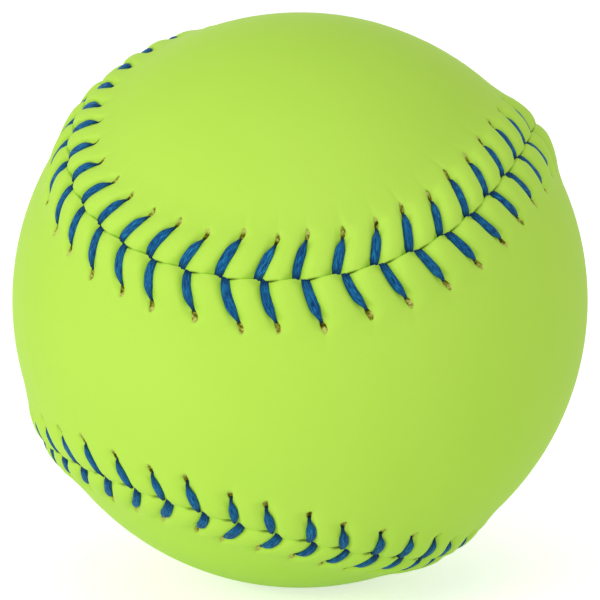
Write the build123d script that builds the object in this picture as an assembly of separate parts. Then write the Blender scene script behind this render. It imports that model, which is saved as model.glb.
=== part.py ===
from build123d import *
import os
from math import asin, atan2, cos, hypot, radians, sin, sqrt

# A slow-pitch softball: a moulded core, two cemented figure-eight cover panels and two stitching threads.
# The origin is the ball's centre. Sizes are in millimetres and angles in degrees.

# Layers, from the outside in
ball_radius = 48.5
cover_thickness = 2.0
cement_thickness = 0.3
bond_gap = 0.03
cut_overrun = 1.0

# Seam line: straight flanks through four points of the ball's equator, joined by round lobe ends
flank_tilt = 12.9
flank_half_angle = 15.2

# Raised seam: the two panel edges rise on a ramp, roll over and meet in a narrow butt joint
seam_gap = 0.3
ridge_height = 1.0
roll_radius = 0.9

# Stitching: each thread takes the two panels in turn, so the stitches come in pairs
stitch_pairs = 44
stitch_phase = 0.29
stitch_lean = 2.2
thread_diameter = 0.8
thread_clearance = 0.1
hole_distance = 7.0
hole_length = 1.8
ramp_beyond_hole = 0.2
margin_beyond_hole = 1.6
thread_end_gap = 2.0

# How the ball lies: turns about X, then the new Y, then the new Z, from the seam's own axes
lie_turns = (99.1, -29.7, 172.2)

# Sizes worked out from the ones above
origin = (0, 0, 0)
bore_radius = ball_radius - cover_thickness
core_radius = bore_radius - cement_thickness
thread_radius = thread_diameter / 2
thread_room = thread_radius + thread_clearance
hole_width = 2 * thread_room
ridge_half_width = hole_distance + ramp_beyond_hole
margin_width = hole_distance + hole_length - thread_room + margin_beyond_hole
dive_offset = thread_room
notch_length = 2 * (dive_offset + thread_room)
stitch_count = 2 * stitch_pairs


def quarter_turned(v, count):
    """Takes a point of the seam to the same point a quarter of the seam further on, count times."""
    for _ in range(count):
        v = Vector(v.Y, -v.X, -v.Z)
    return v


def seam_arcs():
    """The seam as eight arcs on the unit ball, each a start direction, a turning axis and a sweep."""
    tilt, half = radians(flank_tilt), radians(flank_half_angle)
    crossing = Vector(1, 1, 0).normalized()
    heading = Vector(-1, 1, 0).normalized() * sin(tilt) - Vector(0, 0, 1) * cos(tilt)
    left = crossing.cross(heading)
    flank_end = crossing * cos(half) + heading * sin(half)
    lobe_angle = atan2(flank_end.Y, left.Y)
    lobe_centre = flank_end * cos(lobe_angle) - left * sin(lobe_angle)
    lobe_tip = Vector(lobe_centre.Z, 0, -lobe_centre.X)
    lobe_sweep = 2 * (flank_end - lobe_centre * lobe_centre.dot(flank_end)).get_angle(lobe_tip)
    lobe_end = Vector(flank_end.X, -flank_end.Y, flank_end.Z)
    arcs = []
    for quarter in range(4):
        spin = 1 if quarter % 2 else -1
        lobe_axis = quarter_turned(lobe_centre, quarter) * spin
        arcs.append((quarter_turned(flank_end, quarter), lobe_axis, lobe_sweep))
        flank_start = quarter_turned(lobe_end, quarter)
        flank_axis = flank_start.cross(quarter_turned(flank_end, quarter + 1)).normalized()
        arcs.append((flank_start, flank_axis, 2 * flank_half_angle))
    return arcs


arcs = seam_arcs()
arc_lengths = [ball_radius * radians(sweep) * start.cross(axis).length for start, axis, sweep in arcs]
stitch_pitch = sum(arc_lengths) / stitch_count


def left_of(start, axis):
    """The direction across the seam, to the left of its travel, where an arc starts."""
    return start.cross(axis.cross(start)).normalized()


def seam_point(distance, offset, radius):
    """A point at a distance along the seam, an offset to its left and a radius from the centre."""
    distance = distance % sum(arc_lengths)
    for (start, axis, sweep), length in zip(arcs, arc_lengths):
        if distance <= length:
            break
        distance -= length
    across = offset / ball_radius
    direction = start * cos(across) + left_of(start, axis) * sin(across)
    return direction.rotate(Axis(origin, axis), sweep * distance / length) * radius


def seam_band(profile):
    """A section drawn with X across the seam and Y outwards, carried round the whole seam."""
    band = []
    for start, axis, sweep in arcs:
        across = left_of(start, axis)
        section = Plane(origin, x_dir=across, z_dir=across.cross(start))
        band.append(revolve(section * profile, Axis(origin, axis), sweep))
    return band


def at_angle(offset, radius):
    """A point of a seam section at an offset round the ball and a radius."""
    return (radius * sin(offset / ball_radius), radius * cos(offset / ball_radius))


def ring_section(half_width, inner_radius, outer_radius):
    """A strip across the seam between two radii, with its sides square to the seam's own surface."""
    inner_height = sqrt(inner_radius ** 2 - half_width ** 2)
    outer_height = sqrt(outer_radius ** 2 - half_width ** 2)
    outline = Curve() + [
        Line((-half_width, inner_height), (-half_width, outer_height)),
        ThreePointArc((-half_width, outer_height), (0, outer_radius), (half_width, outer_height)),
        Line((half_width, outer_height), (half_width, inner_height)),
        ThreePointArc((half_width, inner_height), (0, inner_radius), (-half_width, inner_height)),
    ]
    return make_face(outline)


# The roll's centre, and the ramp that leaves the ball's surface and runs tangent onto the roll
roll_across = roll_radius + thread_room
roll_centre_height = sqrt((ball_radius + ridge_height - roll_radius) ** 2 - roll_across ** 2)
foot = at_angle(ridge_half_width, ball_radius)
foot_reach = foot[0] - roll_across
foot_rise = roll_centre_height - foot[1]
ramp_angle = atan2(foot_rise, foot_reach) + asin(roll_radius / hypot(foot_reach, foot_rise))


def roll_point(angle):
    """A point on the roll, at an angle from the outward direction towards the ramp."""
    return (roll_across + roll_radius * sin(angle), roll_centre_height + roll_radius * cos(angle))


def mirrored(point):
    """The same point on the other side of the seam."""
    return (-point[0], point[1])


def ridge_section():
    """Both rolled edges with their ramps and the narrow valley between them, closed inside the cover."""
    ramp_top, crest, roll_side = roll_point(ramp_angle), roll_point(0), roll_point(-radians(90))
    edge = (seam_gap / 2, roll_side[1] - (thread_room - seam_gap / 2))
    below = (foot[0], foot[1] - cover_thickness / 2)
    half = [
        Line(below, foot),
        Line(foot, ramp_top),
        ThreePointArc(ramp_top, crest, roll_side),
        Line(roll_side, edge),
    ]
    other_half = [line.mirror(Plane.YZ) for line in half]
    across = [Line(edge, mirrored(edge)), Line(below, mirrored(below))]
    return make_face(Curve() + half + other_half + across)


# Thread route: up a hole, over the ramp and the roll, down at the seam, under the other panel's edge
under_run = hypot(hole_distance, stitch_pitch - stitch_lean + dive_offset)
under_radius = hypot(core_radius + bond_gap + thread_room, under_run / 2)
channel_radius = under_radius + thread_room
leg_rise = thread_room / cos(ramp_angle)
leg_slope = sin(ramp_angle) / cos(ramp_angle)
seam_top_radius = foot[1] + leg_rise + leg_slope * foot[0]
hole_angle = hole_distance / ball_radius
hole_top_radius = seam_top_radius / (cos(hole_angle) + leg_slope * sin(hole_angle))
elbow_radius = thread_room
over_roll_radius = roll_radius + thread_room


def stitch_at(number):
    """The distance along the seam of a stitch, numbered in the order of sewing."""
    return -(number - stitch_phase) * stitch_pitch


def stitch_points(number, side):
    """One stitch of one thread: bottom and top of its hole, then top and bottom of its drop at the seam."""
    hole = stitch_at(number) + stitch_lean
    drop = stitch_at(number) - side * dive_offset
    return [
        seam_point(hole, side * hole_distance, under_radius),
        seam_point(hole, side * hole_distance, hole_top_radius),
        seam_point(drop, 0, seam_top_radius),
        seam_point(drop, 0, under_radius),
    ]


def thread(first_side):
    """One unbroken thread, which takes the two panels in turn and has its ends tucked under the cover."""
    points, radii = [], []
    for number in range(stitch_count):
        side = first_side if number % 2 == 0 else -first_side
        points += stitch_points(number, side)
        radii += [elbow_radius, elbow_radius, over_roll_radius, elbow_radius]
    tuck = (under_run - thread_end_gap) / 2 / under_run
    before = stitch_points(-1, -first_side)[3]
    after = stitch_points(stitch_count, first_side)[0]
    points = [points[0] + (before - points[0]) * tuck] + points + [points[-1] + (after - points[-1]) * tuck]
    path = FilletPolyline(*points, radius=radii)
    section = Plane(path @ 0, z_dir=path % 0) * Circle(thread_radius)
    return sweep(section, path)


def hole_tool(number, side):
    """A punched slit, drawn out away from the seam beyond the thread that rises in it."""
    place = stitch_at(number) + stitch_lean
    centre = seam_point(place, side * hole_distance, ball_radius)
    seam_side = seam_point(stitch_at(number) - side * dive_offset, 0, ball_radius)
    plane = Plane(centre + centre.normalized() * ridge_height, z_dir=centre, x_dir=seam_side - centre)
    slit = plane * Pos(thread_room - hole_length / 2, 0) * SlotOverall(hole_length, hole_width)
    return extrude(slit, -(ridge_height + cover_thickness))


def notch_tool(number):
    """The opening that the two threads of a stitch press into the butted panel edges."""
    centre = seam_point(stitch_at(number), 0, ball_radius)
    along = seam_point(stitch_at(number) + dive_offset, 0, ball_radius) - centre
    plane = Plane(centre, z_dir=centre, x_dir=along)
    return extrude(plane * Rectangle(notch_length, hole_width), ridge_height + cover_thickness, both=True)


def halves(shell):
    """The two pieces of a divided shell: first the one with its lobes on the X axis, then the other."""
    east = Vertex(ball_radius, 0, 0)
    return sorted(shell.solids(), key=lambda piece: piece.distance_to(east))


def core():
    return Sphere(core_radius - bond_gap)


def cement_films():
    """Cement holds each panel's field to the core and stops short of the loose stitching margin."""
    film = Sphere(bore_radius - bond_gap) - Sphere(core_radius)
    margin = ring_section(margin_width, core_radius - cut_overrun, bore_radius + cut_overrun)
    return halves(film.cut(*seam_band(margin)))


def punched(panel, side):
    """A panel with the slits of its own side of the seam and its share of the thread openings."""
    slits = [hole_tool(number, side) for number in range(stitch_count)]
    notches = [notch_tool(number) for number in range(stitch_count)]
    return panel.cut(*slits, *notches)


def cover_panels():
    """The cover with its raised seam, hollowed, skived under the margin, parted at the seam and punched."""
    outside = Sphere(ball_radius).fuse(*seam_band(ridge_section()))
    channel = seam_band(ring_section(margin_width, bore_radius - cut_overrun, channel_radius))
    hollow = Sphere(bore_radius).fuse(*channel)
    butt = seam_band(ring_section(seam_gap / 2, bore_radius - cut_overrun, ball_radius + ridge_height))
    right, left = halves(outside.cut(hollow).cut(*butt))
    return [punched(right, -1), punched(left, 1)]


panels = cover_panels()
films = cement_films()
nodes = {
    "core": core(),
    "cement_film_1": films[0],
    "cement_film_2": films[1],
    "cover_panel_1": panels[0],
    "cover_panel_2": panels[1],
    "stitching_thread_1": thread(1),
    "stitching_thread_2": thread(-1),
}

lie = Rotation(*lie_turns)
os.makedirs("parts", exist_ok=True)
for name, piece in nodes.items():
    placed = lie * piece
    placed.label = name
    export_step(placed, f"parts/{name}.step")
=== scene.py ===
"""A yellow slow-pitch softball with blue chevron stitching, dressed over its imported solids."""
import math

import bpy
import numpy as np
from mathutils import Euler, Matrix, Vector
from mathutils.geometry import delaunay_2d_cdt


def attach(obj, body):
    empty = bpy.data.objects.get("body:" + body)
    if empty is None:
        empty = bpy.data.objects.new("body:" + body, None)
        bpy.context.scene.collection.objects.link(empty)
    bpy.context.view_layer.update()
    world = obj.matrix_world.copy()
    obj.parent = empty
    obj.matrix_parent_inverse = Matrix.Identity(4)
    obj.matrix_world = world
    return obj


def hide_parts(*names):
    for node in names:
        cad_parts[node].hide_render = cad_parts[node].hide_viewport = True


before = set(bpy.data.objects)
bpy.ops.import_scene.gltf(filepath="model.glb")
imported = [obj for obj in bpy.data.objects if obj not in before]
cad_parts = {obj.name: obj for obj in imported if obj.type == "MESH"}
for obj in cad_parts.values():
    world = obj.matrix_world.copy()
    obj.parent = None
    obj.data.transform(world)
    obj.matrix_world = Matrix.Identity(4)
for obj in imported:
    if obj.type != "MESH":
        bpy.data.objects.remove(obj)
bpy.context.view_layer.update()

# Sizes are in millimetres and angles in degrees. The stage and the scales of textures are in metres.
# Side 1 is to the left of the seam's travel and side -1 to its right.
# A pair of sizes says where something starts and where it ends, unless a comment says otherwise.
MM = 0.001
SEED = 11

# The ball, its cover and its seam line, as the solids have them
BALL_RADIUS = 48.5
COVER_THICKNESS = 2.0
SKIVED_THICKNESS = 1.09
SKIVED_WIDTH = 9.9
FLANK_TILT = 12.9
FLANK_HALF_ANGLE = 15.2
STITCH_COUNT = 88
STITCH_PHASE = 0.29
LIE_TURNS = (99.1, -29.7, 172.2)

# Raised seam: two rolls with a valley between them. They swell slowly round the seam towards one stitch.
RIDGE_HEIGHT = 1.47
RIDGE_SLOPE = (1.6, 11.0)
RIDGE_SWING_TOP = 36
RIDGE_SWING = 0.2
RIDGE_PEAK = {1: 0.02, -1: 0.1}
RIDGE_PEAK_POWER = 4
VALLEY_DEPTH = 0.5
VALLEY_HALF_WIDTH = 2.4

# Butted edges: the stitches pull the seam to and fro, and a dark crotch opens just beyond each stitch
BUTT_GAP = 0.008
SEAM_WANDER = 0.25
WANDER_TURN = 0.55
WANDER_REACH = 5.0
GROOVE_DEPTH = 0.045
GROOVE_HALF_WIDTH = 0.2
CROTCH_PLACE = 1.5
CROTCH_SPREAD = 0.8
CROTCH_DEEPENING = 4.0
CROTCH_WIDENING = 1.1
# Painted shade in each crotch: its half-width across the seam and its share of a near-black green
CROTCH_SHADE_HALF_WIDTH = 0.25
CROTCH_SHADE_SHARE = 0.9

# Beds that the legs press into the rolls. A bank beside a bed has a width and a share of the pillow's rise.
BED_SHARE = 0.16
BED_ARCH = 0.2
BED_HALF_WIDTH = 0.68
BED_FLARE = 0.6
BED_FLARE_REACH = 1.4
STEEP_BANK = (0.75, 0.5)
GENTLE_BANK = (1.5, 0.35)
# Painted shade beside each leg: how far its band lies from the leg's middle, how wide it spreads, and where
# it fades out past the hole
LEG_SHADE_LINE = 0.75
LEG_SHADE_SPREAD = 0.3
LEG_SHADE_END = (-0.8, 0.3)

# Beyond the holes: leather that lies free, a dimple at each slit and a faint pull mark
FREE_SHARE = 0.8
FREE_START = (0.4, 2.6)
DIMPLE_DEPTH = 0.22
DIMPLE_CENTRE = 0.9
DIMPLE_HALF_LENGTH = 1.4
DIMPLE_HALF_WIDTH = 1.0
PULL_DEPTH = 0.05
PULL_HALF_WIDTH = 0.6
PULL_START = (1.2, 2.6)
PULL_END = (3.0, 6.5)

# Slits punched in the cover. Their walls and frayed edges are shares of the slit's own outline.
SLIT_CENTRE = 1.1
SLIT_HALF_LENGTH = 1.15
SLIT_HALF_WIDTH = 0.43
SLIT_END_POWER = 2.2
SLIT_DEPTH = 0.4
SLIT_WALL = (0.72, 1.05)
SLIT_FRAY = (0.5, 1.35)

# Legs of thread, pressed flat on the cover. Their reach and lean change slowly round the seam.
LEG_SWING_TOP = 33
LEG_REACH = {1: 4.85, -1: 5.3}
LEG_REACH_SWING = {1: 0.45, -1: 0.7}
LEG_LEAN = {1: 1.2, -1: 2.46}
LEG_LEAN_SWING = {1: 0.3, -1: 0.0}
LEG_DRIFT_END = 1.25
LEG_BOW = 0.25
LEG_WIDTH = 1.62
LEG_THICKNESS = 0.84
LEG_LIFT = 0.34 * LEG_THICKNESS
DROP_OFFSET = 0.62

# A leg's outline, in shares of its length from the hole to the seam and of its full width or thickness
TIP_WIDTH = 0.3
TIP_WIDTH_SPAN = (-0.06, 0.34)
TIP_THICKNESS = 0.62
TIP_THICKNESS_SPAN = (0, 0.3)
SEAM_NARROWING = {1: 0.13, -1: 0.3}
SEAM_NARROWING_SWING = {1: 0.0, -1: 0.17}
SEAM_NARROWING_SPAN = (0.55, 1.0)

# Where a leg's ends sink into the cover (a depth and a reach), and where painted shade darkens them, with
# its share
HOLE_SINKING = (0.2, 0.8)
SEAM_SINKING = (0.25, 0.9)
HOLE_END_SHADE = (-0.8, 0.2)
SEAM_END_SHADE = (0.1, 1.3)
END_SHADE_SHARE = 0.75

# Rings of thread that come up a hole, and rings that go down at the seam, in the order of sewing
RISE_BEYOND_HOLE = np.array([0.5, 0.42, 0.22])
RISE_HEIGHT = np.array([-1.7, -0.8, -0.2])
RISE_WIDTH = np.array([0.6, 0.55, 0.55])
RISE_THICKNESS = np.array([0.6, 0.5, 0.45])
DROP_ACROSS = np.array([-0.27, -0.3, -0.1])
DROP_BELOW_LEG = np.array([0.15, 0.6])
DROP_END_HEIGHT = -1.6
DROP_WIDTH_SHARE = np.array([1, 0.9])
DROP_THICKNESS = np.array([0.62, 0.62])
HIDDEN_DIAMETER = 0.8

# Plies twisted into the thread, how square its flat section is, and the mark of the legs on side 1
PLY_COUNT = 8
PLY_DEPTH = 0.09
PLY_LAY = 0.9
SECTION_POWER = 0.8
SIDE_MARK = 0.37

# Spread of the sewn stitches round their usual sizes: millimetres, or a share for pillow, pull and width
UNEVEN = {"lean": 0.3, "hole": 0.25, "pillow": 0.05, "pull": 0.4, "width": 0.06, "drop": 0.06, "bow": 0.09}
UNEVEN_LIMIT = 2

# Mesh fineness. Rows across the margin are close at the cut edge and round the slits, wider elsewhere.
MARGIN = 14.0
EDGE_ROWS = np.array([0, 0.06, 0.13, 0.22, 0.33, 0.46, 0.62])
ROLL_ROWS = np.arange(0.85, 4.6, 0.26)
SLIT_ROWS = np.arange(4.7, 8.9, 0.13)
FIELD_ROWS = np.geomspace(9.1, MARGIN, 9)
COLUMNS = 16
COLUMN_EVENNESS = 0.3
INNER_COLUMN_STEP = 4
FIELD_SPACING = 1.2
LINING_SPACING = 3 * FIELD_SPACING
POINT_AREA = 0.87
FIELD_CLEARANCE = 0.6
SEAM_SAMPLES = 6 * STITCH_COUNT
INSIDE_BORDER = 1
TRIANGLE_TOLERANCE = 1e-9
LEG_RINGS = np.linspace(0.99, -0.04, 26)
RING_POINTS = 32

# Leather: colours at places of a ramp, and the scales of its mottling, fibres and grain
SKIN = [(0.3, (0.478, 0.770, 0.084)), (0.7, (0.503, 0.790, 0.096))]
BACKING = [(0.36, (0.06, 0.055, 0.003)), (0.5, (0.29, 0.28, 0.024)), (0.66, (0.64, 0.67, 0.19))]
SLIT_EDGE = [(0.52, (0, 0, 0)), (0.68, (1, 1, 1))]
# Painted shade beside the legs: a deeper green and how much of it is mixed in
LEG_SIDE_SHADE = (0.26, 0.56, 0.012)
LEG_SIDE_SHADE_SHARE = 0.6
# Painted shade in the seam's crotches: a near-black green
CROTCH_SHADE = (0.06, 0.10, 0.008)
SKIN_ROUGHNESS = (0.48, 0.58)
SKIN_SPECULAR = 0.05
MOTTLE_SCALE = 28
FIBRE_SCALE = 1500
GRAIN_SCALE = 2600
RAGGEDNESS = 0.25
BACKING_SLOPE = 0.34

# Thread: two blues that the stitches take their colour between, and fibres drawn out along it
DARK_THREAD = [(0.38, (0.001, 0.018, 0.070)), (0.5, (0.002, 0.078, 0.27)), (0.62, (0.01, 0.22, 0.46))]
LIGHT_THREAD = [(0.38, (0.001, 0.025, 0.090)), (0.5, (0.003, 0.100, 0.31)), (0.62, (0.025, 0.27, 0.49))]
# Painted shade on a leg's ends, where they sink into the cover
THREAD_END_SHADE = (0.001, 0.014, 0.055)
THREAD_ROUGHNESS = 0.55
THREAD_SPECULAR = 0.12
THREAD_STRETCH = {"around": 38, "along": 0.55, "stitch": 3.7}
THREAD_FIBRE_SCALE = 1.6

# What the cover hides
FOAM = [(0.35, (0.62, 0.56, 0.40)), (0.65, (0.74, 0.68, 0.52))]
CEMENT = [(0.35, (0.52, 0.42, 0.20)), (0.65, (0.66, 0.56, 0.30))]

# Camera, from the photograph: the plain ball's radius in its 600 pixel frame, seen from ten radii
IMAGE_PIXELS = 600
BALL_PIXELS = 287.8
CAMERA_RADII = 10.0
CAMERA_ELEVATION = 10.0
CLIP_START = 0.01

# Stage: strengths where the floor and the world are seen and as light, and each lamp's place, size and power
FLOOR_HALF_SIZE = 6.0
FLOOR_GREY = 0.9
FLOOR_GLOW = 0.55
FLOOR_LIGHT = 0.14
WORLD_GLOW = 1.0
WORLD_LIGHT = 0.55
LAMPS = {
    "key": ((-0.95, -0.75, 0.25), 0.9, 7.0),
    "fill": ((0.25, -1.15, 0.05), 0.8, 2.3),
    "top": ((0.10, -0.45, 1.20), 1.0, 1.9),
    "back": ((0.00, 1.20, 0.10), 0.8, 0.8),
}


# Seam line

def unit(v):
    """Vectors of length one."""
    return v / np.linalg.norm(v, axis=-1, keepdims=True)


def quarter_turned(v, count):
    """Takes a point of the seam to the same point a quarter of the seam further on, count times."""
    for _ in range(count):
        v = np.array([v[1], -v[0], -v[2]])
    return v


def seam_arcs():
    """The seam on the unit ball as eight arcs: start direction, turning axis, sweep in radians, length."""
    tilt = math.radians(FLANK_TILT)
    half = math.radians(FLANK_HALF_ANGLE)
    crossing = unit(np.array([1.0, 1.0, 0.0]))
    heading = unit(np.array([-1.0, 1.0, 0.0])) * math.sin(tilt) - np.array([0, 0, math.cos(tilt)])
    left = np.cross(crossing, heading)
    flank_end = crossing * math.cos(half) + heading * math.sin(half)
    lobe_angle = math.atan2(flank_end[1], left[1])
    lobe_centre = flank_end * math.cos(lobe_angle) - left * math.sin(lobe_angle)
    lobe_tip = np.array([lobe_centre[2], 0, -lobe_centre[0]])
    lobe_start = unit(flank_end - lobe_centre * (lobe_centre @ flank_end))
    lobe_sweep = 2 * math.acos(lobe_start @ lobe_tip)
    lobe_end = flank_end * np.array([1, -1, 1])
    arcs = []
    for quarter in range(4):
        spin = 1 if quarter % 2 else -1
        start = quarter_turned(flank_end, quarter)
        arcs.append((start, quarter_turned(lobe_centre, quarter) * spin, lobe_sweep))
        start = quarter_turned(lobe_end, quarter)
        axis = unit(np.cross(start, quarter_turned(flank_end, quarter + 1)))
        arcs.append((start, axis, 2 * half))
    lengths = [sweep * np.linalg.norm(np.cross(start, axis)) for start, axis, sweep in arcs]
    return [(*arc, length) for arc, length in zip(arcs, lengths)]


ARCS = seam_arcs()
SEAM_LENGTH = BALL_RADIUS * sum(length for _, _, _, length in ARCS)
PITCH = SEAM_LENGTH / STITCH_COUNT
LIE = np.array(Euler([math.radians(turn) for turn in LIE_TURNS], "ZYX").to_matrix())


def turned(vectors, axis, angles):
    """Vectors turned about an axis, each by its own angle."""
    c = np.cos(angles)[:, None]
    s = np.sin(angles)[:, None]
    return vectors * c + np.cross(axis, vectors) * s + axis * (vectors @ axis)[:, None] * (1 - c)


def seam_frames(distance):
    """Directions outwards and to the left of travel at distances along the seam, in the seam's own axes."""
    distance = np.asarray(distance, float) / BALL_RADIUS % (SEAM_LENGTH / BALL_RADIUS)
    out = np.zeros(distance.shape + (3,))
    left = np.zeros(distance.shape + (3,))
    begin = 0.0
    for start, axis, sweep, length in ARCS:
        here = (distance >= begin) & (distance <= begin + length)
        angles = (distance[here] - begin) / length * sweep
        side = unit(np.cross(start, np.cross(axis, start)))
        out[here] = turned(np.tile(start, (len(angles), 1)), axis, angles)
        left[here] = turned(np.tile(side, (len(angles), 1)), axis, angles)
        begin += length
    return out, left


def ball_points(distance, offset, height):
    """Points at distances along the seam, offsets to its left and heights over the plain ball, in metres."""
    out, left = seam_frames(distance)
    angle = np.asarray(offset)[..., None] / BALL_RADIUS
    direction = out * np.cos(angle) + left * np.sin(angle)
    return direction @ LIE.T * ((BALL_RADIUS + np.asarray(height)[..., None]) * MM)


# Sizes of the stitches, one value for each stitch and side

def smooth_step(low, high, x):
    """Nought up to low, one from high on, and a smooth rise between them."""
    t = np.clip((x - low) / (high - low), 0, 1)
    return t * t * (3 - 2 * t)


def bell(x, spread):
    """One at nought, and less and less on both sides of it."""
    return np.exp(-(x / spread) ** 2)


def arch(share):
    """Nought at both ends of a span, one at its middle."""
    return 4 * share * (1 - share)


def uneven(name, side):
    """A fixed random value for every stitch of one side, for one of its sizes."""
    spread = UNEVEN[name]
    rng = np.random.default_rng([SEED, side + 1, sum(map(ord, name))])
    return np.clip(rng.normal(0, spread, STITCH_COUNT), -UNEVEN_LIMIT * spread, UNEVEN_LIMIT * spread)


def swing(top):
    """A slow wave once round the seam, one at its top stitch, with a value for every stitch."""
    return np.cos(2 * math.pi * (np.arange(STITCH_COUNT) - top) / STITCH_COUNT)


def stitch_sides(side):
    """The uneven sizes of one side's stitches."""
    wave = swing(LEG_SWING_TOP)
    swell = swing(RIDGE_SWING_TOP)
    fuller = RIDGE_SWING * swell + RIDGE_PEAK[side] * np.maximum(swell, 0) ** RIDGE_PEAK_POWER
    return {
        "lean": LEG_LEAN[side] + LEG_LEAN_SWING[side] * wave + uneven("lean", side),
        "hole": LEG_REACH[side] + LEG_REACH_SWING[side] * wave + uneven("hole", side),
        "narrowing": SEAM_NARROWING[side] - SEAM_NARROWING_SWING[side] * wave,
        "pillow": 1 + fuller + uneven("pillow", side),
        "pull": 1 + uneven("pull", side),
        "width": LEG_WIDTH * (1 + uneven("width", side)),
        "drop": -side * (DROP_OFFSET + uneven("drop", side)),
        "bow": LEG_BOW + uneven("bow", side),
    }


def leg_drift(sewn, across):
    """How far along the seam a leg's middle line lies from its stitch, at offsets across the seam."""
    share = np.minimum(across / sewn["hole"], LEG_DRIFT_END)
    bow = sewn["bow"] * arch(share) * (share < 1)
    return sewn["drop"] * (1 - share) + sewn["lean"] * share - bow


def seam_wander(beyond_stitch, across):
    """How far the stitches pull the seam to its left: one way before each stitch, the other way after it."""
    pulled = 2 * beyond_stitch / PITCH - np.tanh(beyond_stitch / WANDER_TURN)
    return SEAM_WANDER * pulled * (1 - smooth_step(0, WANDER_REACH, across))


# Cover height

def ridge(sewn, across):
    """Height of the raised seam, two rolls with a valley between them, at offsets across the seam."""
    roll = RIDGE_HEIGHT * sewn["pillow"] * (1 - smooth_step(*RIDGE_SLOPE, across))
    return roll - VALLEY_DEPTH * np.maximum(1 - across / VALLEY_HALF_WIDTH, 0) ** 2


def bed(sewn, across):
    """Height of the bed that a leg lies in: pressed low at both ends, arched over the roll between them."""
    share = np.minimum(across / sewn["hole"], 1)
    return BED_SHARE * ridge(sewn, across) + BED_ARCH * arch(share)


def cushion(from_leg, across):
    """How far the cover rises from a leg's bed to the ridge: a bank on each side of the bed, then a dome."""
    aside = np.abs(from_leg)
    half_width = BED_HALF_WIDTH + BED_FLARE * (1 - smooth_step(0, BED_FLARE_REACH, across))
    dome = 1 - (1 - np.minimum(aside / (PITCH / 2), 1)) ** 2
    rise = []
    for width, share in (STEEP_BANK, GENTLE_BANK):
        bank = smooth_step(half_width, half_width + width, aside)
        rise.append(share * bank + (1 - share) * dome)
    return np.where(from_leg < 0, *rise)


def pillow_height(sewn, from_leg, across):
    """Height of the cover as the legs press it, and as it lies free beyond their holes."""
    low = bed(sewn, across)
    high = ridge(sewn, across)
    pressed = low + (high - low) * cushion(from_leg, across)
    free = smooth_step(*FREE_START, across - sewn["hole"])
    return pressed * (1 - free) + FREE_SHARE * high * free


def crotch_share(beyond_stitch):
    """How far the seam opens: most of all just beyond each stitch."""
    return bell(beyond_stitch - CROTCH_PLACE, CROTCH_SPREAD)


def groove(beyond_stitch, across):
    """Depth of the groove between the two panels' cut edges."""
    crotch = crotch_share(beyond_stitch)
    half_width = GROOVE_HALF_WIDTH * (1 + CROTCH_WIDENING * crotch)
    depth = GROOVE_DEPTH * (1 + CROTCH_DEEPENING * crotch)
    return depth * (1 - smooth_step(0, 1, across / half_width)) ** 2


def pull_marks(sewn, from_leg, past_hole):
    """Depth of the dimple round each slit and of the faint crease that the thread pulls beyond it."""
    dimple = bell(from_leg, DIMPLE_HALF_WIDTH) * bell(past_hole - DIMPLE_CENTRE, DIMPLE_HALF_LENGTH)
    fading = smooth_step(*PULL_START, past_hole) * (1 - smooth_step(*PULL_END, past_hole))
    return DIMPLE_DEPTH * dimple + PULL_DEPTH * sewn["pull"] * fading * bell(from_leg, PULL_HALF_WIDTH)


def cover_height(sewn, from_leg, across, beyond_stitch):
    """Height of the cover over the plain ball, with its shares of slit, of painted shade in the seam's
    crotches and of painted shade beside the legs.
    """
    past_hole = across - sewn["hole"]
    along_slit = (past_hole - SLIT_CENTRE) / SLIT_HALF_LENGTH
    reach = np.sqrt(np.abs(along_slit) ** SLIT_END_POWER + (from_leg / SLIT_HALF_WIDTH) ** 2)
    height = pillow_height(sewn, from_leg, across)
    height -= groove(beyond_stitch, across)
    height -= pull_marks(sewn, from_leg, past_hole)
    height -= SLIT_DEPTH * (1 - smooth_step(*SLIT_WALL, reach))
    # The crease share is painted shade: a near-black green in the seam's groove, strongest at each crotch.
    crease = CROTCH_SHADE_SHARE * (1 - smooth_step(0, CROTCH_SHADE_HALF_WIDTH, across))
    # The pressed share is painted shade: a band beside each leg, fading out past its hole.
    beside_leg = bell(np.abs(from_leg) - LEG_SHADE_LINE, LEG_SHADE_SPREAD)
    shares = {
        "slit": 1 - smooth_step(*SLIT_FRAY, reach),
        "slit_end": 0.5 + along_slit / 2,
        "crease": crease * crotch_share(beyond_stitch),
        "pressed": beside_leg * (1 - smooth_step(*LEG_SHADE_END, past_hole)),
    }
    return height, shares


# Cover mesh

def margin_rows():
    """Offsets across the stitching margin."""
    return np.concatenate([BUTT_GAP + EDGE_ROWS, ROLL_ROWS, SLIT_ROWS, FIELD_ROWS])


def column_offsets():
    """Places across one stitch, from -1 to 1, and offsets from its leg: close there, wide between legs."""
    t = (np.arange(COLUMNS) + 0.5) / COLUMNS * 2 - 1
    return t, PITCH / 2 * (COLUMN_EVENNESS * t + (1 - COLUMN_EVENNESS) * t ** 3)


def margin_grid(side):
    """One panel's stitching margin, rows by columns: distance along, offset to the left, height, shares."""
    sewn = stitch_sides(side)
    across = margin_rows()[:, None]
    t, offsets = (np.tile(values, STITCH_COUNT) for values in column_offsets())
    from_leg = offsets[None, :]
    stitch = np.repeat(np.arange(STITCH_COUNT), COLUMNS)
    neighbour = np.where(t > 0, stitch + 1, stitch - 1) % STITCH_COUNT
    own = {key: value[stitch][None, :] for key, value in sewn.items()}
    other = {key: value[neighbour][None, :] for key, value in sewn.items()}
    share = (t ** 2)[None, :] / 2
    mixed = {key: own[key] * (1 - share) + other[key] * share for key in sewn}
    drift = leg_drift(own, across) * (1 - share) + leg_drift(other, across) * share
    beyond_stitch = from_leg + drift
    height, shares = cover_height(mixed, from_leg, across, beyond_stitch)
    distance = (stitch + STITCH_PHASE)[None, :] * PITCH + beyond_stitch
    offset = side * across + seam_wander(beyond_stitch, across)
    return distance, offset, height, shares


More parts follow.
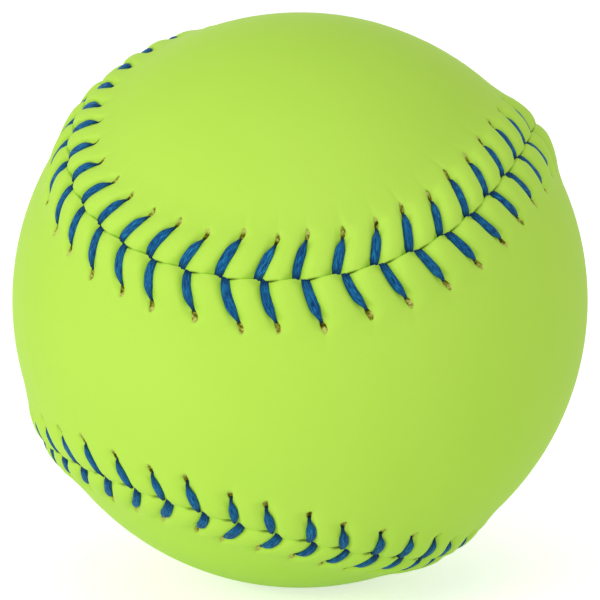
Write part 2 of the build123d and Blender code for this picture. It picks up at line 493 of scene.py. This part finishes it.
def field_directions(side, spacing):
    """Evenly scattered directions inside a panel's stitching margin, in the seam's own axes."""
    count = int(4 * math.pi * BALL_RADIUS ** 2 / (POINT_AREA * spacing ** 2))
    number = np.arange(count) + 0.5
    z = 1 - 2 * number / count
    golden_turn = math.pi * (1 + math.sqrt(5))
    angle = golden_turn * number
    ring = np.sqrt(1 - z * z)
    points = np.stack([ring * np.cos(angle), ring * np.sin(angle), z], axis=1)
    out, left = seam_frames(np.linspace(0, SEAM_LENGTH, SEAM_SAMPLES, endpoint=False))
    close = points @ out.T
    nearest = close.argmax(axis=1)
    from_seam = np.arccos(np.clip(close.max(axis=1), -1, 1)) * BALL_RADIUS
    inside = from_seam > MARGIN + FIELD_CLEARANCE * spacing
    own_side = np.einsum("ij,ij->i", points, left[nearest]) * side > 0
    return points[inside & own_side]


def plain_field(edge, side, spacing, radius):
    """Points and triangles that fill a panel inside an edge, at one radius. The edge's points come first."""
    directions = np.concatenate([unit(edge) @ LIE, field_directions(side, spacing)])
    flat = directions[:, :2] / (1 - side * directions[:, 2:3])
    corners = [Vector(point) for point in flat]
    borders = [(i, (i + 1) % len(edge)) for i in range(len(edge))]
    result = delaunay_2d_cdt(corners, borders, [], INSIDE_BORDER, TRIANGLE_TOLERANCE)
    _, _, faces, sources, _, _ = result
    original = np.array([source[0] for source in sources])
    points = directions @ LIE.T * (radius * MM)
    points[:len(edge)] = edge
    return points, original[np.array(faces)]


def lining_margin(distance, offset):
    """The inner face under the stitching margin, skived near the seam, on fewer columns than the outside."""
    columns = np.arange(0, distance.shape[1], INNER_COLUMN_STEP)
    skived = int(np.searchsorted(margin_rows(), SKIVED_WIDTH))
    rows = [0, skived, skived + 1, len(distance) - 1]
    depth = np.array([SKIVED_THICKNESS, SKIVED_THICKNESS, COVER_THICKNESS, COVER_THICKNESS])
    grid = np.ix_(rows, columns)
    return ball_points(distance[grid], offset[grid], np.repeat(-depth[:, None], len(columns), axis=1))


def strip_faces(rows, columns, flip):
    """Quads of a closed strip of rows by columns."""
    row, column = np.meshgrid(np.arange(rows - 1), np.arange(columns), indexing="ij")
    here = row * columns + column
    beside = row * columns + (column + 1) % columns
    quads = np.stack([here, beside, beside + columns, here + columns], axis=-1).reshape(-1, 4)
    return quads[:, ::-1] if flip else quads


def edge_fans(columns, inner_columns, first_inner, flip):
    """Triangles down the panel's cut edge, from its fine outer line to the coarser inner line."""
    step = columns // inner_columns
    faces = []
    for k in range(inner_columns):
        low = first_inner + k
        low_next = first_inner + (k + 1) % inner_columns
        for top in range(k * step, (k + 1) * step):
            faces.append((top, low, (top + 1) % columns))
        faces.append((low, low_next, (k + 1) * step % columns))
    faces = np.array(faces)
    return faces if flip else faces[:, ::-1]


def outward(points, triangles):
    """Triangles with their corners in the order that faces away from the ball's centre."""
    a, b, c = (points[triangles[:, i]] for i in range(3))
    inward = np.einsum("ij,ij->i", np.cross(b - a, c - a), a + b + c) < 0
    turned_round = triangles.copy()
    turned_round[inward] = triangles[inward][:, ::-1]
    return turned_round


def new_mesh(name, points, faces, attributes):
    """A mesh object, smooth shaded, with one number for each point under each attribute's name."""
    mesh = bpy.data.meshes.new(name)
    mesh.from_pydata(points.tolist(), [], [face.tolist() for group in faces for face in group])
    mesh.polygons.foreach_set("use_smooth", np.ones(len(mesh.polygons), bool))
    for key, values in attributes.items():
        layer = mesh.attributes.new(key, "FLOAT", "POINT")
        layer.data.foreach_set("value", np.asarray(values, np.float32))
    mesh.update()
    piece = bpy.data.objects.new(name, mesh)
    bpy.context.scene.collection.objects.link(piece)
    return piece


def cover_panel(name, side):
    """One figure-eight panel: its sewn margin, its plain field, and an inner face that closes it."""
    distance, offset, height, shares = margin_grid(side)
    rows, columns = distance.shape
    margin = ball_points(distance, offset, height)
    field, field_faces = plain_field(margin[-1], side, FIELD_SPACING, BALL_RADIUS)
    inner = lining_margin(distance, offset)
    inner_rows, inner_columns = inner.shape[:2]
    lining, lining_faces = plain_field(inner[-1], side, LINING_SPACING, BALL_RADIUS - COVER_THICKNESS)

    points = np.concatenate([margin[:-1].reshape(-1, 3), field, inner[:-1].reshape(-1, 3), lining])
    first_field = (rows - 1) * columns
    first_inner = first_field + len(field)
    first_lining = first_inner + (inner_rows - 1) * inner_columns
    faces = [
        strip_faces(rows, columns, side < 0),
        outward(points, field_faces + first_field),
        strip_faces(inner_rows, inner_columns, side > 0) + first_inner,
        outward(points, lining_faces + first_lining)[:, ::-1],
        edge_fans(columns, inner_columns, first_inner, side > 0),
    ]
    padding = np.zeros(len(points) - rows * columns)
    attributes = {key: np.concatenate([share.ravel(), padding]) for key, share in shares.items()}
    return new_mesh(name, points, faces, attributes)


# Thread mesh

def leg_width(share, narrowing):
    """A leg's width, as a share of its full width, from its hole at 0 to the seam at 1."""
    swell = TIP_WIDTH + (1 - TIP_WIDTH) * smooth_step(*TIP_WIDTH_SPAN, share)
    return swell - narrowing * smooth_step(*SEAM_NARROWING_SPAN, share)


def leg_thickness(share):
    """A leg's thickness, as a share of its full thickness, from its hole at 0 to the seam at 1."""
    return TIP_THICKNESS + (1 - TIP_THICKNESS) * smooth_step(*TIP_THICKNESS_SPAN, share)


def leg_height(sewn, across):
    """Height of a leg's middle line: on its bed, sunk at both ends."""
    seam_depth, seam_reach = SEAM_SINKING
    hole_depth, hole_reach = HOLE_SINKING
    at_seam = seam_depth * (1 - smooth_step(0, seam_reach, across))
    at_hole = hole_depth * (1 - smooth_step(0, hole_reach, sewn["hole"] - across))
    return bed(sewn, across) - (at_seam + at_hole) + LEG_LIFT


def stitch_route(number, side, sewn):
    """One stitch's rings: their centres, flat directions, widths, thicknesses, painted shade at the ends and
    stitch mark.
    """
    one = {key: value[number] for key, value in sewn.items()}
    leg_across = one["hole"] * LEG_RINGS
    over = leg_height(one, leg_across)
    across = np.concatenate([one["hole"] + RISE_BEYOND_HOLE, leg_across, DROP_ACROSS])
    height = np.concatenate([RISE_HEIGHT, over, over[-1] - DROP_BELOW_LEG, [DROP_END_HEIGHT]])
    drift = leg_drift(one, across)
    distance = (number + STITCH_PHASE) * PITCH + drift
    centres = ball_points(distance, side * across + seam_wander(drift, across), height)

    width = one["width"] * leg_width(1 - LEG_RINGS, one["narrowing"])
    thickness = LEG_THICKNESS * leg_thickness(1 - LEG_RINGS)
    width = np.concatenate([RISE_WIDTH, width, width[-1] * DROP_WIDTH_SHARE, [HIDDEN_DIAMETER]])
    thickness = np.concatenate([RISE_THICKNESS, thickness, DROP_THICKNESS, [HIDDEN_DIAMETER]])
    # Painted shade where the leg sinks at the seam and at the hole
    inner_end = 1 - smooth_step(*SEAM_END_SHADE, across)
    outer_end = smooth_step(*HOLE_END_SHADE, across - one["hole"])
    end_shade = END_SHADE_SHARE * np.maximum(inner_end, outer_end)

    count = len(centres)
    leg = centres[len(RISE_HEIGHT):-len(DROP_ACROSS)]
    sideways = unit(np.cross(unit(centres[count // 2]), leg[-1] - leg[0]))
    mark = number + SIDE_MARK * (side > 0)
    return centres, np.tile(sideways, (count, 1)), width, thickness, end_shade, np.full(count, mark)


def thread_rings(first_side):
    """The whole thread's rings, stitch by stitch, on the two panels in turn."""
    sewn = {side: stitch_sides(side) for side in (1, -1)}
    routes = []
    for count in range(STITCH_COUNT):
        side = first_side if count % 2 == 0 else -first_side
        routes.append(stitch_route(-count % STITCH_COUNT, side, sewn[side]))
    return [np.concatenate(values) for values in zip(*routes)]


def stitching_thread(name, first_side):
    """One unbroken flattened thread with its plies showing as fine twisted ridges."""
    centres, sideways, width, thickness, end_shade, mark = thread_rings(first_side)
    tangent = unit(np.gradient(centres, axis=0))
    sideways = unit(sideways - tangent * np.einsum("ij,ij->i", sideways, tangent)[:, None])
    up = np.cross(tangent, sideways)
    along = np.concatenate([[0], np.cumsum(np.linalg.norm(np.diff(centres, axis=0), axis=1))]) / MM
    angle = np.arange(RING_POINTS) / RING_POINTS * 2 * math.pi
    ply = 1 + PLY_DEPTH * np.cos(angle[None, :] * PLY_COUNT + along[:, None] * PLY_LAY)
    half_width = (width / 2)[:, None] * np.sign(np.cos(angle)) * np.abs(np.cos(angle)) ** SECTION_POWER
    half_thickness = (thickness / 2)[:, None] * np.sin(angle) * ply
    ring = half_width[..., None] * sideways[:, None, :] + half_thickness[..., None] * up[:, None, :]
    points = centres[:, None, :] + MM * ring
    rings = len(centres)
    faces = strip_faces(rings, RING_POINTS, False)
    first_cap = np.arange(RING_POINTS)[None, ::-1]
    last_cap = np.arange((rings - 1) * RING_POINTS, rings * RING_POINTS)[None, :]
    attributes = {
        "around": np.tile(angle / (2 * math.pi), rings),
        "along": np.repeat(along, RING_POINTS),
        "stitch": np.repeat(mark, RING_POINTS),
        "end_shade": np.repeat(end_shade, RING_POINTS),
    }
    return new_mesh(name, points.reshape(-1, 3), [faces, first_cap, last_cap], attributes)


# Materials

def new_material(name):
    """A node material with its principled shader."""
    material = bpy.data.materials.new(name)
    material.use_nodes = True
    nodes = material.node_tree.nodes
    return material, nodes, material.node_tree.links, nodes["Principled BSDF"]


def attribute(nodes, name):
    """A number that a mesh carries at each of its points."""
    node = nodes.new("ShaderNodeAttribute")
    node.attribute_name = name
    return node.outputs["Fac"]


def noise(nodes, links, vector, scale, detail, roughness=0.5):
    """A cloudy pattern from nought to one."""
    node = nodes.new("ShaderNodeTexNoise")
    node.inputs["Scale"].default_value = scale
    node.inputs["Detail"].default_value = detail
    node.inputs["Roughness"].default_value = roughness
    links.new(vector, node.inputs["Vector"])
    return node.outputs["Fac"]


def ramp(nodes, links, value, stops):
    """A colour ramp from a value, with (position, colour) stops."""
    node = nodes.new("ShaderNodeValToRGB")
    links.new(value, node.inputs["Fac"])
    elements = node.color_ramp.elements
    while len(elements) < len(stops):
        elements.new(0.5)
    for element, (position, colour) in zip(elements, stops):
        element.position = position
        element.color = (*colour, 1)
    return node.outputs["Color"]


def mix_colour(nodes, links, share, first, second):
    """The first colour turned into the second by a share. The second is a socket or a plain colour."""
    node = nodes.new("ShaderNodeMix")
    node.data_type = "RGBA"
    share_socket, first_socket, second_socket = node.inputs[0], node.inputs[6], node.inputs[7]
    links.new(share, share_socket)
    links.new(first, first_socket)
    if isinstance(second, tuple):
        second_socket.default_value = (*second, 1)
    else:
        links.new(second, second_socket)
    return node.outputs[2]


def arithmetic(nodes, links, operation, *values):
    """A calculation with sockets and plain numbers."""
    node = nodes.new("ShaderNodeMath")
    node.operation = operation
    for socket, value in zip(node.inputs, values):
        if isinstance(value, (int, float)):
            socket.default_value = value
        else:
            links.new(value, socket)
    return node.outputs[0]


def bumped(nodes, links, shader, height, strength, distance):
    """Gives a shader fine relief from a pattern."""
    node = nodes.new("ShaderNodeBump")
    node.inputs["Strength"].default_value = strength
    node.inputs["Distance"].default_value = distance
    links.new(height, node.inputs["Height"])
    links.new(node.outputs["Normal"], shader.inputs["Normal"])


def leather_colour(nodes, links, broad, fine):
    """Mottled skin, raw backing with a ragged edge in the slits, painted shade in a deeper green beside the
    legs, and near-black painted shade in the seam's crotches.
    """
    skin = ramp(nodes, links, broad, SKIN)
    outer_end = attribute(nodes, "slit_end")
    outer_end = arithmetic(nodes, links, "MULTIPLY_ADD", outer_end, BACKING_SLOPE, -BACKING_SLOPE / 2)
    backing = ramp(nodes, links, arithmetic(nodes, links, "ADD", fine, outer_end), BACKING)
    ragged = arithmetic(nodes, links, "MULTIPLY", fine, RAGGEDNESS)
    in_slit = arithmetic(nodes, links, "ADD", attribute(nodes, "slit"), ragged)
    colour = mix_colour(nodes, links, ramp(nodes, links, in_slit, SLIT_EDGE), skin, backing)
    # Painted shade beside the legs: a deeper green mixed into the leather
    pressed = arithmetic(nodes, links, "MULTIPLY", attribute(nodes, "pressed"), LEG_SIDE_SHADE_SHARE)
    colour = mix_colour(nodes, links, pressed, colour, LEG_SIDE_SHADE)
    # Painted shade in the seam's crotches: a near-black green mixed into the leather
    return mix_colour(nodes, links, attribute(nodes, "crease"), colour, CROTCH_SHADE)


def leather_material():
    """Smooth satin synthetic leather with a fine grain."""
    material, nodes, links, shader = new_material("cover_leather")
    place = nodes.new("ShaderNodeTexCoord").outputs["Object"]
    broad = noise(nodes, links, place, MOTTLE_SCALE, detail=2)
    fine = noise(nodes, links, place, FIBRE_SCALE, detail=2)
    links.new(leather_colour(nodes, links, broad, fine), shader.inputs["Base Color"])
    rough = nodes.new("ShaderNodeMapRange")
    for socket, roughness in zip(("To Min", "To Max"), SKIN_ROUGHNESS):
        rough.inputs[socket].default_value = roughness
    links.new(broad, rough.inputs["Value"])
    links.new(rough.outputs["Result"], shader.inputs["Roughness"])
    shader.inputs["Specular IOR Level"].default_value = SKIN_SPECULAR
    grain = nodes.new("ShaderNodeTexVoronoi")
    grain.inputs["Scale"].default_value = GRAIN_SCALE
    links.new(place, grain.inputs["Vector"])
    bumped(nodes, links, shader, grain.outputs["Distance"], strength=0.06, distance=0.0002)
    return material


def thread_material():
    """Waxed multi-ply thread: fine fibres along it, dark between them, each stitch a little different."""
    material, nodes, links, shader = new_material("waxed_thread")
    join = nodes.new("ShaderNodeCombineXYZ")
    for socket, (name, stretch) in zip(join.inputs, THREAD_STRETCH.items()):
        links.new(arithmetic(nodes, links, "MULTIPLY", attribute(nodes, name), stretch), socket)
    fibres = noise(nodes, links, join.outputs["Vector"], THREAD_FIBRE_SCALE, detail=5, roughness=0.62)
    shade = nodes.new("ShaderNodeTexWhiteNoise")
    shade.noise_dimensions = "1D"
    links.new(attribute(nodes, "stitch"), shade.inputs["W"])
    dark = ramp(nodes, links, fibres, DARK_THREAD)
    light = ramp(nodes, links, fibres, LIGHT_THREAD)
    colour = mix_colour(nodes, links, shade.outputs["Value"], dark, light)
    # Painted shade on the ends of the legs: a near-black blue mixed in
    colour = mix_colour(nodes, links, attribute(nodes, "end_shade"), colour, THREAD_END_SHADE)
    links.new(colour, shader.inputs["Base Color"])
    shader.inputs["Roughness"].default_value = THREAD_ROUGHNESS
    shader.inputs["Specular IOR Level"].default_value = THREAD_SPECULAR
    bumped(nodes, links, shader, fibres, strength=0.6, distance=0.0003)
    return material


def hidden_material(name, colours, scale, roughness):
    """A mottled material for what the cover hides."""
    material, nodes, links, shader = new_material(name)
    place = nodes.new("ShaderNodeTexCoord").outputs["Object"]
    cells = noise(nodes, links, place, scale, detail=4)
    links.new(ramp(nodes, links, cells, colours), shader.inputs["Base Color"])
    shader.inputs["Roughness"].default_value = roughness
    bumped(nodes, links, shader, cells, strength=0.3, distance=0.0004)
    return material


def dress(piece, material):
    """Gives a piece one material."""
    piece.data.materials.clear()
    piece.data.materials.append(material)


# Stage

def strength_of(nodes, links, glow, light):
    """A strength: glow where a camera, mirror or glass shows the thing, and light where it lights others."""
    path = nodes.new("ShaderNodeLightPath")
    seen = arithmetic(nodes, links, "MAXIMUM", path.outputs["Is Camera Ray"], path.outputs["Is Glossy Ray"])
    seen = arithmetic(nodes, links, "MAXIMUM", seen, path.outputs["Is Transmission Ray"])
    return arithmetic(nodes, links, "MULTIPLY_ADD", seen, glow - light, light)


def make_floor():
    """A wide pale floor under the ball, which keeps the ball's soft shadow."""
    level = -BALL_RADIUS * MM
    ways = ((-1, -1), (1, -1), (1, 1), (-1, 1))
    corners = np.array([(x * FLOOR_HALF_SIZE, y * FLOOR_HALF_SIZE, level) for x, y in ways])
    floor = new_mesh("floor", corners, [np.array([[0, 1, 2, 3]])], {})
    material, nodes, links, shader = new_material("pale_floor")
    shader.inputs["Base Color"].default_value = (FLOOR_GREY, FLOOR_GREY, FLOOR_GREY, 1)
    shader.inputs["Roughness"].default_value = 0.9
    shader.inputs["Specular IOR Level"].default_value = 0.0
    shader.inputs["Emission Color"].default_value = (1, 1, 1, 1)
    links.new(strength_of(nodes, links, FLOOR_GLOW, FLOOR_LIGHT), shader.inputs["Emission Strength"])
    dress(floor, material)


def make_world():
    """Even white surroundings: plain white where they are seen, softer as light."""
    world = bpy.data.worlds.new("studio")
    bpy.context.scene.world = world
    world.use_nodes = True
    nodes, links = world.node_tree.nodes, world.node_tree.links
    background = nodes["Background"]
    background.inputs["Color"].default_value = (1, 1, 1, 1)
    links.new(strength_of(nodes, links, WORLD_GLOW, WORLD_LIGHT), background.inputs["Strength"])


def place_facing_ball(thing, place):
    """Puts a lamp or a camera in the scene, turned to the ball's centre."""
    thing.location = place
    thing.rotation_mode = "QUATERNION"
    thing.rotation_quaternion = (-Vector(place)).to_track_quat("-Z", "Y")
    bpy.context.scene.collection.objects.link(thing)


def area_lamp(name, place, size, power):
    """A square soft box that faces the ball."""
    data = bpy.data.lights.new(name, "AREA")
    data.size = size
    data.energy = power
    place_facing_ball(bpy.data.objects.new(name, data), place)


def make_camera():
    """A long lens at the photograph's angle, level with the horizon."""
    data = bpy.data.cameras.new("camera")
    focal_pixels = BALL_PIXELS * math.sqrt(CAMERA_RADII ** 2 - 1)
    data.lens = data.sensor_width * focal_pixels / IMAGE_PIXELS
    data.clip_start = CLIP_START
    camera = bpy.data.objects.new("camera", data)
    rise = math.radians(CAMERA_ELEVATION)
    back = Vector((0, -math.cos(rise), math.sin(rise)))
    place_facing_ball(camera, back * (CAMERA_RADII * BALL_RADIUS * MM))
    bpy.context.scene.camera = camera


leather = leather_material()
thread = thread_material()
for node, side in (("cover_panel_1", -1), ("cover_panel_2", 1)):
    piece = cover_panel("leather_" + node, side)
    dress(piece, leather)
    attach(piece, "root")
    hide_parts(node)
for node, side in (("stitching_thread_1", 1), ("stitching_thread_2", -1)):
    piece = stitching_thread("waxed_" + node, side)
    dress(piece, thread)
    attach(piece, "root")
    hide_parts(node)

foam = hidden_material("core_foam", FOAM, scale=400, roughness=0.8)
cement = hidden_material("dried_cement", CEMENT, scale=150, roughness=0.5)
dress(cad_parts["core"], foam)
for node in ("cement_film_1", "cement_film_2"):
    dress(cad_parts[node], cement)

make_floor()
make_world()
for name, (place, size, power) in LAMPS.items():
    area_lamp(name, place, size, power)
make_camera()
bpy.context.scene.view_settings.view_transform = "Standard"
